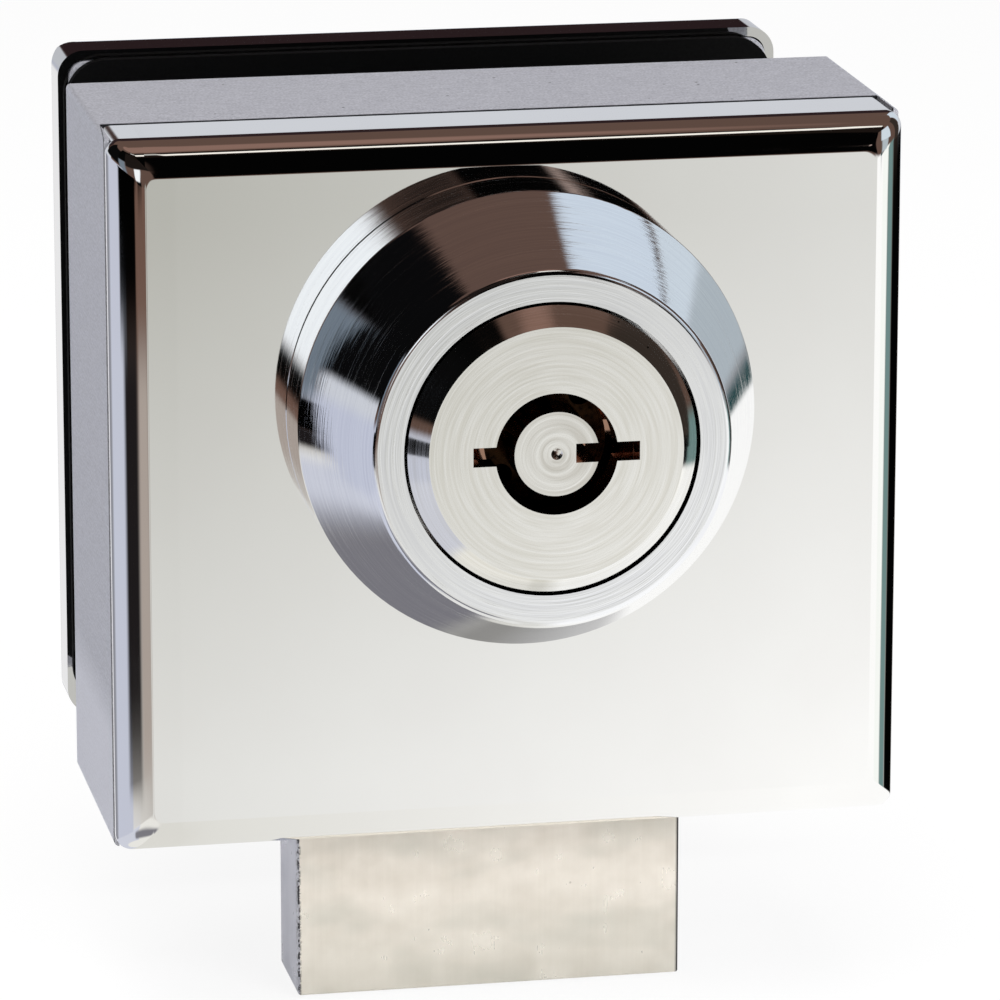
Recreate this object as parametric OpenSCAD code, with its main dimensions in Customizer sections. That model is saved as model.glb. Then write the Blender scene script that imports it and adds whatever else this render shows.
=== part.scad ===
// Glass cabinet door lock: a clamp-on body with a round key cylinder and a square bolt.
// Millimetres, +Z up, front towards -Y. The origin lies on the key cylinder's axis,
// on the plane where the front half seats on the glass.

/* [Body] */
// Width of the front body
body_w = 63.6; // [62:0.1:68]
// Height of the front body
body_h = 57.6; // [56:0.1:61]
// Depth of the front body, cover face to case back
body_depth = 26.3; // [25:0.1:32]
// Height of the key cylinder's axis above the middle of the body
axis_rise = 6.95; // [6.5:0.05:7.5]
// Thickness of the case's side walls
case_wall = 2.5; // [2.2:0.1:2.6]
// Thickness of the case's front wall
case_front = 3; // [2.5:0.1:3.5]
// Radius of the case's upright corners
case_corner = 0.4; // [0.3:0.1:1.5]
// Bevel around the case's back edge
case_edge = 0.3; // [0.2:0.1:0.5]
// Thickness of the case's back lid
lid_t = 2; // [1.5:0.1:2.5]
// Gap around the edge of the lid
lid_fit = 0.15; // [0.1:0.05:0.25]

/* [Covers] */
// Thickness of the polished cover sheet
sheet_t = 0.8; // [0.6:0.1:1]
// Depth of the front cover's top and bottom flanges
cover_depth = 8.1; // [7.6:0.1:9]
// Depth of the front cover's rolled sides
cover_side = 2.85; // [2.8:0.05:3.6]
// Outside radius of the front cover's bend
bend_r = 2.75; // [2:0.05:2.75]
// Radius of the front cover's upright corners
cover_corner = 1.2; // [1.1:0.1:1.5]
// Gap between a cover and the piece inside it
cover_fit = 0.1; // [0.05:0.05:0.2]
// Open seam between the front cover's rim and the case
seam_gap = 0.5; // [0.1:0.05:0.6]
// Width of the case's lips beside the ends of the cover's flanges
lip_w = 0.4; // [0.3:0.05:0.8]
// Depth of the rear cover
rear_depth = 5.5; // [4.8:0.1:8]
// Outside radius of the rear cover's bend
rear_bend_r = 1.5; // [1.2:0.1:2.5]
// Radius of the rear cover's corners
rear_corner = 2.2; // [2:0.1:3]
// How far each side of the rear cover stands inside the front body's outline
rear_inset = 1.2; // [0.2:0.1:2]
// How far the rear cover's top and bottom stand inside the front body's outline
rear_drop = 0.1; // [0:0.1:1]
// How far the clamp plate stands proud of the rear cover's rim
rim_set = 0.5; // [0.3:0.1:0.8]

/* [Glass clamp] */
// Thickness of the glass door
glass_t = 12; // [6:0.5:14]
// Thickness of each gasket
gasket_t = 1; // [0.8:0.1:1.5]
// How far a gasket's edge stands inside the rear cover's outline
gasket_inset = 0.6; // [0.5:0.1:2]
// Radius of a gasket's corners
gasket_corner = 3.2; // [1.5:0.1:4]
// Thickness of the clamp plate
clamp_t = 2.2; // [1.8:0.1:2.4]
// Gap between the bolt's side and the clamp bosses
boss_gap = 0.5; // [0.4:0.1:0.7]
// Height of the clamp screws below the key cylinder's axis
clamp_drop = 6.5; // [5.5:0.5:8]
// Radius of a clamp screw's shank
clamp_screw_r = 2.5; // [2:0.1:2.6]
// Radius of a clamp screw's head
clamp_head_r = 4.6; // [4.2:0.1:5]
// Height of a clamp screw's head
clamp_head_h = 2; // [1.6:0.1:2.2]
// Width across the flats of a clamp screw's socket
clamp_socket = 3; // [2.5:0.1:3.5]
// Depth of a clamp screw's socket
clamp_socket_d = 1.2; // [0.8:0.1:1.4]
// Length of clamp screw held in the case
clamp_grip = 9; // [7:0.5:11]
// Radius of the case's clamp bosses
boss_r = 4; // [3.8:0.1:4.2]
// Outside radius of a screw sleeve
sleeve_r = 4.2; // [4:0.1:4.6]
// Gap around a screw's shank in a plain hole
screw_clear = 0.25; // [0.15:0.05:0.4]
// Gap around a screw's shank in its threaded hole
thread_fit = 0.05; // [0.03:0.01:0.1]
// Spare depth below a screw's end
hole_spare = 2; // [1:0.5:3]

/* [Small screws] */
// Radius of a small screw's shank
screw_r = 1.5; // [1.2:0.1:1.6]
// Radius of a countersunk lid screw's head
lid_head_r = 2.7; // [2.4:0.1:2.8]
// Length of lid screw held in its post
lid_grip = 8; // [6:0.5:10]
// Radius of the lid's corner posts
post_r = 3.2; // [3.1:0.1:3.3]
// Distance of each lid screw from the case's inner walls
post_in = 3; // [2.9:0.05:3.05]
// Radius of a countersunk keeper screw's head
keeper_head_r = 2.6; // [2.3:0.1:2.7]
// Height of a countersunk keeper screw's head
keeper_head_h = 1.2; // [1:0.1:1.4]
// Length of keeper screw held in its post
keeper_grip = 6; // [5:0.5:8]
// Width of a screwdriver slot
driver_slot = 0.7; // [0.5:0.1:0.9]
// Depth of a screwdriver slot
driver_depth = 0.7; // [0.5:0.1:0.9]

/* [Key cylinder] */
// Radius of the collar's round base
collar_r = 18.2; // [17:0.05:18.6]
// Height of the collar's straight base
collar_base = 5.5; // [4.7:0.1:8]
// Height of the collar's cone
collar_cone = 9.9; // [8.8:0.1:11]
// Outside radius of the collar's front ring
ring_r = 14; // [13:0.1:15]
// Rounding of the front ring's edge
ring_round = 0.5; // [0.3:0.1:0.8]
// Rounding between the collar's base and its cone
base_round = 0.8; // [0.4:0.1:1.2]
// Bevel at the collar's foot
foot_bevel = 0.2; // [0.1:0.05:0.4]
// Thickness of the collar's web that the cylinder's shoulder presses on
web_t = 4; // [3:0.2:5]
// Radius of the cylinder's head
head_r = 11.35; // [11:0.05:11.6]
// Gap around the cylinder's head
head_gap = 0.25; // [0.15:0.05:0.35]
// Radial width of the bevel around the cylinder's face
bevel_w = 1.4; // [1:0.1:1.8]
// How far the cylinder's face stands out of the front ring
bevel_d = 1.5; // [1:0.1:2]
// Radius of the cylinder's threaded body
body_r = 10; // [9.8:0.05:10.2]
// Distance of the body's two flats from the axis
flat_r = 8.9; // [8.8:0.05:9.2]
// Gap around the cylinder's body
body_gap = 0.2; // [0.15:0.05:0.3]
// Outside radius of the ring nut and its washer
nut_r = 12.8; // [12.4:0.1:12.9]
// Thickness of the ring nut
nut_t = 3.4; // [3:0.1:3.6]
// Width of the ring nut's spanner slots
nut_slot = 2.4; // [2:0.1:3]
// Depth of the ring nut's spanner slots
nut_slot_d = 1.4; // [1:0.1:1.6]
// Thickness of the washer
washer_t = 0.7; // [0.5:0.1:0.8]

/* [Keyway] */
// Radius of the round keyway
keyway_r = 4.78; // [4.7:0.02:4.9]
// Depth of the keyway
keyway_d = 6.4; // [6:0.1:7]
// Radius of the centre post
post_key_r = 3.31; // [3.2:0.01:3.4]
// Width of the key's notches
notch_w = 1.5; // [1.3:0.05:1.7]
// Reach of the key's notches from the axis
notch_r = 6.5; // [6.3:0.1:6.8]
// Depth of the key's notches
notch_d = 2.4; // [2:0.1:2.6]
// Height of the groove that the key's lug turns in
lug_groove = 2.4; // [2:0.1:2.6]
// Where the post's slot starts, from the axis
slot_in = 1.5; // [1.3:0.05:1.7]
// Depth of the post's slot
slot_d = 5; // [4:0.1:5.5]
// Radius of the post's centre dimple
dimple_r = 0.45; // [0.3:0.05:0.6]

/* [Tumblers] */
// Radius of the turning drum
drum_r = 7.5; // [7.4:0.02:7.6]
// Length of the turning drum
drum_l = 6.5; // [6.4:0.1:7]
// Running gap around the drum and the spindle
run_gap = 0.06; // [0.03:0.01:0.09]
// Gap between pieces fixed to each other
fix_gap = 0.05; // [0.03:0.01:0.08]
// End gap in front of and behind the drum
end_gap = 0.1; // [0.05:0.05:0.15]
// Length of the fixed pin housing
housing_l = 12.8; // [12.4:0.1:13]
// Radius of the circle that the pins stand on
pin_ring = 4.4; // [4.35:0.01:4.45]
// Radius of a pin
pin_r = 0.85; // [0.8:0.01:0.88]
// Gap around a pin
pin_gap = 0.05; // [0.03:0.01:0.08]
// Length of a driver pin
driver_l = 5; // [4.5:0.1:5.5]
// Length of a pin spring
spring_l = 6.4; // [6:0.1:6.6]
// Turns in a pin spring
spring_turns = 6; // [5:1:7]
// Mean radius of a pin spring
spring_r = 0.6; // [0.55:0.01:0.62]
// Radius of a pin spring's wire
wire_r = 0.16; // [0.12:0.01:0.18]
// Depth of the spring holes behind the springs
spring_spare = 0.2; // [0.1:0.1:0.4]
// Radius of the cross pins
cross_r = 0.7; // [0.6:0.05:0.8]
// Radius of the spindle inside the drum
core_r = 2.9; // [2.85:0.01:2.95]
// Radius of the spindle behind the drum
shaft_r = 2.5; // [2.4:0.02:2.56]

/* [Bolt] */
// Width of the bolt's throw
bolt_w = 31.8; // [28:0.2:32.4]
// Thickness of the bolt
bolt_t = 8.9; // [8.5:0.1:9.4]
// Width of the bolt inside the case
bolt_in_w = 35.4; // [34.6:0.2:36]
// How far the thrown bolt stands out of the body
bolt_out = 15.9; // [15.8:0.1:18]
// Distance of the bolt's front behind the cover's bottom flange
bolt_set = 2; // [1.6:0.1:2.6]
// Height of the bolt's top above the axis when thrown
arm_rise = 2; // [1.6:0.1:2.1]
// Bevel along the bolt's edges
bolt_bevel = 0.15; // [0.1:0.05:0.6]
// Gap between the bolt and its guides
slide_gap = 0.12; // [0.08:0.02:0.2]
// Gap between the bolt's shoulder and the case floor when thrown
stop_gap = 0.3; // [0.2:0.1:0.5]
// Thickness of the keeper plate behind the bolt
keeper_t = 2; // [1.5:0.1:2.2]
// Height of the upper keeper screws above the axis
keeper_up = 8; // [7:0.2:8.6]
// Depth of the lower keeper screws below the axis
keeper_down = 22; // [20:0.2:23]
// Radius of the keeper's posts
keeper_post_r = 2.9; // [2.8:0.02:3]
// Gap between the bolt's side and the keeper's posts
side_gap = 0.2; // [0.15:0.05:0.3]
// Margin of the keeper plate around its screws
keeper_rim = 3; // [2.8:0.1:3.2]
// Gap between the keeper plate and the clamp bosses
keeper_gap = 0.5; // [0.3:0.1:0.7]
// Width of each guide rail in front of the bolt
rail_w = 3.6; // [3:0.1:3.8]
// Gap between the ring nut and the guide rails
rail_gap = 0.6; // [0.5:0.05:0.8]

/* [Drive] */
// Gear size, in millimetres of pitch diameter for each tooth
gear_m = 1; // [0.98:0.01:1]
// Slope of the tooth flanks
flank = 25; // [24.5:0.5:26]
// Height of the pinion's teeth above its pitch circle
pinion_add = 0.9; // [0.85:0.01:0.92]
// Height of the rack's teeth above its pitch line
rack_add = 0.8; // [0.75:0.01:0.82]
// Depth of the teeth below the pitch line
dedendum = 1.15; // [1.12:0.01:1.2]
// How much each tooth is thinned
thinning = 0.15; // [0.12:0.01:0.18]
// Thickness of the pinion
pinion_t = 5.4; // [5:0.1:5.6]
// Gap between the bolt's front and the pinion
pinion_set = 0.4; // [0.3:0.1:0.5]
// Width of the spindle's square
square_w = 3.6; // [3.4:0.05:3.6]
// Radius of the spindle's threaded tail
tail_r = 1.7; // [1.5:0.05:1.7]
// Width across the flats of the pinion's nut
tail_nut_w = 6; // [5:0.1:6.4]
// Thickness of the pinion's nut
tail_nut_t = 2.2; // [2:0.1:2.3]
// Free space beside and below the pinion
slot_gap = 0.7; // [0.5:0.05:0.8]

/* [Hidden] */

// Smoothness of round faces
round_fn = 64;
small_fn = 32;
// Steps along a rounded edge of a turned piece
arc_steps = 6;
// Rings in one curl of a spring, and sides of its wire
curl_rings = 8;
wire_sides = 6;
// Small overlap that joins or clears solids
eps = 0.01;
cut = 1;

// Depths along Y
y_back = -gasket_t;
y_face = y_back - body_depth;
y_seam = y_face + cover_depth;
y_side = y_face + cover_side;
y_plug = y_face + sheet_t + cover_fit;
y_floor = y_plug + case_front;
y_lid = y_back - lid_t;
y_cone = y_face - collar_base;
y_ring = y_cone - collar_cone;
y_front = y_ring - bevel_d;
y_web = y_face - web_t;
y_keyway = y_front + keyway_d;
y_drum = y_keyway + end_gap;
y_shear = y_drum + drum_l;
y_housing = y_shear + end_gap;
y_shell_end = y_housing + housing_l;
y_nut = y_floor + washer_t;
y_bolt_f = y_seam + bolt_set;
y_bolt_b = y_bolt_f + bolt_t;
y_keeper = y_bolt_b + slide_gap;
y_keeper_b = y_keeper + keeper_t;
y_pinion = y_bolt_f + pinion_set;
y_pinion_b = y_pinion + pinion_t;
y_tail = y_keeper_b + cut / 2;
y_rear_pad = glass_t;
y_clamp = glass_t + gasket_t;
y_clamp_b = y_clamp + clamp_t;
y_rear_rim = y_clamp + rim_set;
y_rear_end = y_rear_rim + rear_depth;

// Heights along Z and widths along X
z_mid = -axis_rise;
z_bot = z_mid - body_h / 2;
cav_w = body_w - 2 * case_wall;
cav_h = body_h - 2 * case_wall;
plug_in = sheet_t + cover_fit;
post_x = cav_w / 2 - post_in;
post_up = z_mid + cav_h / 2 - post_in;
post_down = z_mid - cav_h / 2 + post_in;
keep_x = bolt_in_w / 2 + side_gap + keeper_post_r;
rail_x = nut_r + rail_gap;
rear_w = body_w - 2 * rear_inset;
rear_h = body_h - 2 * rear_drop;
clamp_w = rear_w - 2 * sheet_t - 2 * cover_fit;
clamp_h = rear_h - 2 * sheet_t - 2 * cover_fit;
clamp_x = bolt_in_w / 2 + boss_gap + boss_r;
clamp_z = -clamp_drop;
clamp_len = clamp_grip + lid_t + gasket_t + y_clamp_b;

// Pinion and rack: half a turn carries the bolt over half of the pinion's teeth
teeth = 10;
pitch_r = gear_m * teeth / 2;
base_r = pitch_r * cos(flank);
tip_r = pitch_r + pinion_add;
root_r = pitch_r - dedendum;
tooth_pitch = PI * gear_m;
travel = tooth_pitch * teeth / 2;
half_tooth = (tooth_pitch / 2 - thinning) / 2;
flank_steps = 6;
slot_x = tip_r + slot_gap;
slot_z = -(tip_r + slot_gap) - travel;
rack_root = pitch_r + dedendum;
rack_tip = pitch_r - rack_add;
rack_teeth = teeth / 2 + 2;
z_tip = z_bot - bolt_out;
z_shoulder = z_bot + case_wall + stop_gap;

// Angles of the seven pins; the eighth place faces the post's slot and stays empty
pin_turns = [45, 90, 135, 180, 225, 270, 315];
// Length of each key pin
key_cuts = [5.6, 4.7, 6.1, 5.1, 4.4, 5.9, 4.9];
housing_pin_y = y_face - cross_r - cut / 2;
drum_pin_y = y_drum + drum_l / 2;
hole_r = pin_r + pin_gap;
spring_y = y_housing + driver_l;

echo(spring_gap = coil_gap(spring_r, wire_r, spring_l, spring_turns));
echo(bolt_travel = travel, retracted_out = bolt_out - travel);

// A solid between two depths with the child outline, X and Z
module slab(y0, y1) {
  translate([0, y1, 0])
    rotate([90, 0, 0])
      linear_extrude(y1 - y0)
        children();
}

// A round bar along Y
module rod(r, y0, y1, fn = round_fn) {
  translate([0, y0, 0])
    rotate([-90, 0, 0])
      cylinder(r = r, h = y1 - y0, $fn = fn);
}

// A body turned about Y from radius and depth points
module turned(points, fn = round_fn) {
  rotate([-90, 0, 0])
    rotate_extrude($fn = fn)
      polygon(points);
}

// Points along a rounded edge, from one angle to another
function arc(middle, r, from, to) =
  [for (i = [0 : arc_steps])
    let (a = from + (to - from) * i / arc_steps)
      middle + r * [cos(a), sin(a)]];

// A rectangle with round corners
module round_rect(w, h, r) {
  union() {
    square([w - 2 * r, h], center = true);
    square([w, h - 2 * r], center = true);
    for (sx = [-1, 1])
      for (sz = [-1, 1])
        translate([sx * (w / 2 - r), sz * (h / 2 - r)])
          circle(r, $fn = small_fn);
  }
}

// The side view of the case: two corners cut off at its back
module case_side(h) {
  front = y_seam + seam_gap;
  polygon([
    [front, -h / 2],
    [y_back - case_edge, -h / 2],
    [y_back, -h / 2 + case_edge],
    [y_back, h / 2 - case_edge],
    [y_back - case_edge, h / 2],
    [front, h / 2]]);
}

// The solid block of the case behind the cover
module case_block() {
  intersection() {
    slab(y_seam + seam_gap, y_back)
      round_rect(body_w, body_h, case_corner);
    translate([-body_w / 2 - cut, 0, 0])
      rotate([90, 0, 90])
        linear_extrude(body_w + 2 * cut)
          case_side(body_h);
    translate([0, 0, -body_h / 2 - cut])
      rotate([0, 0, 90])
        linear_extrude(body_h + 2 * cut)
          case_side(body_w);
  }
}

// The side view of a sheet pan: two round corners at its closed end
module pan_side(d, h, r) {
  union() {
    translate([r, -h / 2])
      square([d - r, h]);
    translate([0, -h / 2 + r])
      square([d, h - 2 * r]);
    for (s = [-1, 1])
      translate([r, s * (h / 2 - r)])
        circle(r, $fn = small_fn);
  }
}

// A solid pan, closed end at Y zero
module pan_block(w, h, d, r, corner) {
  intersection() {
    slab(0, d)
      round_rect(w, h, corner);
    translate([-w / 2 - cut, 0, 0])
      rotate([90, 0, 90])
        linear_extrude(w + 2 * cut)
          pan_side(d, h, r);
    translate([0, 0, -h / 2 - cut])
      rotate([0, 0, 90])
        linear_extrude(h + 2 * cut)
          pan_side(d, w, r);
  }
}

// A drawn sheet pan
module pan(w, h, d, r, corner) {
  difference() {
    pan_block(w, h, d, r, corner);
    translate([0, sheet_t, 0])
      pan_block(w - 2 * sheet_t, h - 2 * sheet_t, d, r - sheet_t, corner - sheet_t);
  }
}

// Repeats the child at the two clamp screws
module at_clamps() {
  for (s = [-1, 1])
    translate([s * clamp_x, 0, clamp_z])
      children();
}

// Repeats the child at the four lid screws
module at_posts() {
  for (s = [-1, 1])
    for (z = [post_up, post_down])
      translate([s * post_x, 0, z])
        children();
}

// Repeats the child at the four keeper screws
module at_keepers() {
  for (s = [-1, 1])
    for (z = [keeper_up, -keeper_down])
      translate([s * keep_x, 0, z])
        children();
}

// Repeats the child around the pin circle
module at_pins() {
  for (a = pin_turns)
    rotate([0, -a, 0])
      translate([pin_ring, 0, 0])
        children();
}

// Round bar with two flats, the shape of the cylinder's threaded body
module flatted(r, f, y0, y1) {
  intersection() {
    rod(r, y0, y1);
    translate([-r - cut, y0 - cut, -f])
      cube([2 * (r + cut), y1 - y0 + 2 * cut, 2 * f]);
  }
}

// A strip of sheet along the cover's top and another along its bottom
module cover_flanges() {
  reach = body_w - 2 * (lip_w + cover_fit);
  for (s = [-1, 1])
    translate([-reach / 2, cover_side - eps, s * (body_h - sheet_t) / 2 - sheet_t / 2])
      cube([reach, cover_depth - cover_side + eps, sheet_t]);
}

module front_cover() {
  color([0.86, 0.86, 0.85])
    difference() {
      translate([0, y_face, z_mid])
        union() {
          pan(body_w, body_h, cover_side, bend_r, cover_corner);
          cover_flanges();
        }
      rod(body_r + body_gap, y_face - cut, y_plug + cut);
    }
}

// The case between the cover's flanges: full at the sides, low along the top and the bottom
module case_neck() {
  slab(y_side + seam_gap, y_seam + seam_gap + eps)
    difference() {
      round_rect(body_w, body_h, case_corner);
      for (s = [-1, 1])
        translate([0, s * body_h / 2])
          square([body_w - 2 * lip_w, 2 * plug_in], center = true);
    }
}

module case_shell() {
  difference() {
    union() {
      translate([0, 0, z_mid])
        case_block();
      translate([0, 0, z_mid])
        case_neck();
      translate([0, y_plug, z_mid])
        pan_block(body_w - 2 * plug_in, body_h - 2 * plug_in, cover_depth,
          bend_r - sheet_t, cover_corner - sheet_t);
    }
    translate([0, 0, z_mid])
      slab(y_floor, y_back + cut)
        square([cav_w, cav_h], center = true);
  }
}

module case() {
  color([0.62, 0.62, 0.66])
    difference() {
      union() {
        case_shell();
        at_posts()
          rod(post_r, y_floor - eps, y_lid, small_fn);
        at_clamps()
          rod(boss_r, y_floor - eps, y_lid, small_fn);
        at_keepers()
          rod(keeper_post_r, y_floor - eps, y_keeper, small_fn);
        for (s = [-1, 1])
          translate([s * (rail_x + rail_w / 2) - rail_w / 2, y_floor - eps, z_mid - cav_h / 2 - eps])
            cube([rail_w, y_bolt_f - slide_gap - y_floor + eps, cav_h + 2 * eps]);
      }
      flatted(body_r + body_gap, flat_r + body_gap, y_plug - cut, y_floor + cut);
      at_posts()
        rod(screw_r + thread_fit, y_lid - lid_grip - hole_spare, y_lid + cut, small_fn);
      at_clamps()
        rod(clamp_screw_r + thread_fit, y_lid - clamp_grip - hole_spare, y_lid + cut, small_fn);
      at_keepers()
        rod(screw_r + thread_fit, y_keeper - keeper_grip - hole_spare, y_keeper + cut, small_fn);
      translate([-bolt_w / 2 - slide_gap, y_bolt_f - slide_gap, z_bot - cut])
        cube([bolt_w + 2 * slide_gap, bolt_t + 2 * slide_gap, case_wall + cut + eps]);
    }
}

module case_lid() {
  color([0.55, 0.56, 0.58])
    difference() {
      translate([0, 0, z_mid])
        slab(y_lid, y_back)
          square([cav_w - 2 * lid_fit, cav_h - 2 * lid_fit], center = true);
      at_clamps()
        rod(clamp_screw_r + screw_clear, y_lid - cut, y_back + cut, small_fn);
      at_posts()
        turned([
          [0, y_lid - cut],
          [screw_r + screw_clear, y_lid - cut],
          [screw_r + screw_clear, y_back - lid_head_r + screw_r],
          [lid_head_r + screw_clear, y_back],
          [lid_head_r + screw_clear, y_back + cut],
          [0, y_back + cut]], small_fn);
    }
}

module lid_screws() {
  color([0.7, 0.7, 0.68])
    at_posts()
      difference() {
        turned([
          [0, y_lid - lid_grip],
          [screw_r, y_lid - lid_grip],
          [screw_r, y_back - lid_head_r + screw_r],
          [lid_head_r, y_back],
          [0, y_back]], small_fn);
        translate([-lid_head_r - cut, y_back - driver_depth, -driver_slot / 2])
          cube([2 * (lid_head_r + cut), driver_depth + cut, driver_slot]);
      }
}

module bolt_keeper() {
  color([0.72, 0.72, 0.7])
    difference() {
      translate([-keep_x - keeper_rim, y_keeper, -keeper_down - keeper_rim])
        cube([2 * (keep_x + keeper_rim), keeper_t, keeper_up + keeper_down + 2 * keeper_rim]);
      at_clamps()
        rod(boss_r + keeper_gap, y_keeper - cut, y_keeper_b + cut, small_fn);
      at_keepers()
        turned([
          [0, y_keeper - cut],
          [screw_r + screw_clear, y_keeper - cut],
          [screw_r + screw_clear, y_keeper_b - keeper_head_h],
          [keeper_head_r + screw_clear, y_keeper_b],
          [keeper_head_r + screw_clear, y_keeper_b + cut],
          [0, y_keeper_b + cut]], small_fn);
      rod(tail_r + run_gap, y_keeper - cut, y_keeper_b + cut, small_fn);
    }
}

module keeper_screws() {
  color([0.75, 0.74, 0.68])
    at_keepers()
      difference() {
        turned([
          [0, y_keeper - keeper_grip],
          [screw_r, y_keeper - keeper_grip],
          [screw_r, y_keeper_b - keeper_head_h],
          [keeper_head_r, y_keeper_b],
          [0, y_keeper_b]], small_fn);
        translate([-keeper_head_r - cut, y_keeper_b - driver_depth, -driver_slot / 2])
          cube([2 * (keeper_head_r + cut), driver_depth + cut, driver_slot]);
      }
}

module collar() {
  bore = head_r + head_gap;
  lean = atan((collar_r - ring_r) / collar_cone);
  base_run = base_round * tan(lean / 2);
  ring_run = ring_round * tan(45 - lean / 2);
  color([0.8, 0.81, 0.84])
    turned(concat(
      [[body_r + body_gap, y_face],
        [collar_r - foot_bevel, y_face],
        [collar_r, y_face - foot_bevel]],
      arc([collar_r - base_round, y_cone + base_run], base_round, 0, -lean),
      arc([ring_r - ring_run, y_ring + ring_round], ring_round, -lean, -90),
      [[bore, y_ring],
        [bore, y_web],
        [body_r + body_gap, y_web]]));
}

module cylinder_shell() {
  bore = drum_r + run_gap;
  color([0.88, 0.87, 0.84])
    difference() {
      union() {
        turned([
          [0, y_front],
          [head_r - bevel_w, y_front],
          [head_r, y_ring],
          [head_r, y_web],
          [0, y_web]]);
        flatted(body_r, flat_r, y_web - eps, y_shell_end);
      }
      turned([
        [0, y_front - cut],
        [keyway_r, y_front - cut],
        [keyway_r, y_front + notch_d],
        [notch_r, y_front + notch_d],
        [notch_r, y_front + notch_d + lug_groove],
        [keyway_r, y_front + notch_d + lug_groove],
        [keyway_r, y_keyway],
        [bore, y_keyway],
        [bore, y_shell_end + cut],
        [0, y_shell_end + cut]]);
      translate([-notch_r, y_front - cut, -notch_w / 2])
        cube([2 * notch_r, notch_d + cut + eps, notch_w]);
      translate([0, housing_pin_y, 0])
        rotate([0, 90, 0])
          cylinder(r = cross_r + fix_gap, h = body_r + cut, $fn = small_fn);
    }
}

module nut_washer() {
  color([0.7, 0.7, 0.7])
    difference() {
      rod(nut_r, y_floor, y_nut);
      rod(body_r + body_gap, y_floor - cut, y_nut + cut);
    }
}

module ring_nut() {
  color([0.78, 0.72, 0.5])
    difference() {
      rod(nut_r, y_nut, y_nut + nut_t);
      rod(body_r + thread_fit, y_nut - cut, y_nut + nut_t + cut);
      for (a = [0, 90, 180, 270])
        rotate([0, a, 0])
          translate([nut_r - nut_slot_d, y_nut - cut, -nut_slot / 2])
            cube([nut_slot_d + cut, nut_t + 2 * cut, nut_slot]);
    }
}

module pin_housing() {
  color([0.8, 0.7, 0.42])
    difference() {
      rod(drum_r, y_housing, y_shell_end);
      rod(shaft_r + run_gap, y_housing - cut, y_shell_end + cut);
      at_pins()
        rod(hole_r, y_housing - cut, spring_y + spring_l + spring_spare, small_fn);
      translate([pin_ring, housing_pin_y, 0])
        rotate([0, 90, 0])
          cylinder(r = cross_r + fix_gap, h = drum_r, $fn = small_fn);
    }
}

module housing_pin() {
  color([0.6, 0.6, 0.6])
    translate([pin_ring + fix_gap, housing_pin_y, 0])
      rotate([0, 90, 0])
        cylinder(r = cross_r, h = flat_r - pin_ring, $fn = small_fn);
}

module driver_pins() {
  color([0.82, 0.68, 0.36])
    at_pins()
      rod(pin_r, y_housing, spring_y, small_fn);
}

// One point on the middle of a coil's wire
function coil_point(i, mean_r, wire, len, turns) =
  let (rings = curl_rings * turns, a = 360 * turns * i / rings)
    [mean_r * cos(a), wire + (len - 2 * wire) * i / rings, mean_r * sin(a)];

// The least gap between a coil's wire and its next turn, measured on those points
function coil_gap(mean_r, wire, len, turns) =
  let (rings = curl_rings * turns, near = curl_rings / 2)
    min([for (i = [0 : rings - near])
      for (k = [i + near : rings])
        norm(coil_point(i, mean_r, wire, len, turns) - coil_point(k, mean_r, wire, len, turns))])
      - 2 * wire;

// One unbroken wire wound into a coil along Y
module coil(mean_r, wire, len, turns) {
  rings = curl_rings * turns;
  sides = wire_sides;
  lean = atan((len - 2 * wire) / (2 * PI * mean_r * turns));
  points = [for (i = [0 : rings])
    for (j = [0 : sides - 1])
      let (a = 360 * turns * i / rings, b = 360 * j / sides,
        out = wire * cos(b), up = wire * sin(b))
        coil_point(i, mean_r, wire, len, turns)
          + out * [cos(a), 0, sin(a)]
          + up * [sin(lean) * sin(a), cos(lean), -sin(lean) * cos(a)]];
  side_faces = [for (i = [0 : rings - 1])
    for (j = [0 : sides - 1])
      let (k = (j + 1) % sides, here = i * sides, next = (i + 1) * sides)
        each [[here + j, here + k, next + k], [here + j, next + k, next + j]]];
  end = rings * sides;
  first_faces = [for (j = [1 : sides - 2]) [0, j + 1, j]];
  end_faces = [for (j = [1 : sides - 2]) [end, end + j, end + j + 1]];
  polyhedron(points = points, faces = concat(side_faces, first_faces, end_faces));
}

module pin_springs() {
  color([0.7, 0.72, 0.75])
    at_pins()
      translate([0, spring_y, 0])
        coil(spring_r, wire_r, spring_l, spring_turns);
}

module spindle() {
  color([0.86, 0.85, 0.82])
    difference() {
      union() {
        turned([
          [0, y_front],
          [post_key_r, y_front],
          [post_key_r, y_drum],
          [core_r, y_drum],
          [core_r, y_shear],
          [shaft_r, y_shear],
          [shaft_r, y_pinion],
          [0, y_pinion]]);
        intersection() {
          rod(shaft_r, y_pinion - eps, y_pinion_b);
          translate([-square_w / 2, y_pinion - cut, -square_w / 2])
            cube([square_w, pinion_t + 2 * cut, square_w]);
        }
        rod(tail_r, y_pinion_b - eps, y_tail, small_fn);
      }
      translate([slot_in, y_front - cut, -notch_w / 2])
        cube([post_key_r, slot_d + cut, notch_w]);
      turned([
        [0, y_front - cut],
        [dimple_r + cut, y_front - cut],
        [0, y_front + dimple_r]], small_fn);
      translate([0, drum_pin_y, 0])
        rotate([0, 90, 0])
          cylinder(r = cross_r + fix_gap, h = drum_r, $fn = small_fn);
    }
}

module tumbler_drum() {
  color([0.78, 0.66, 0.38])
    difference() {
      rod(drum_r, y_drum, y_shear);
      rod(core_r + fix_gap, y_drum - cut, y_shear + cut);
      at_pins()
        rod(hole_r, y_drum - cut, y_shear + cut, small_fn);
      translate([0, drum_pin_y, 0])
        rotate([0, 90, 0])
          cylinder(r = cross_r + fix_gap, h = drum_r + cut, $fn = small_fn);
    }
}

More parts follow.
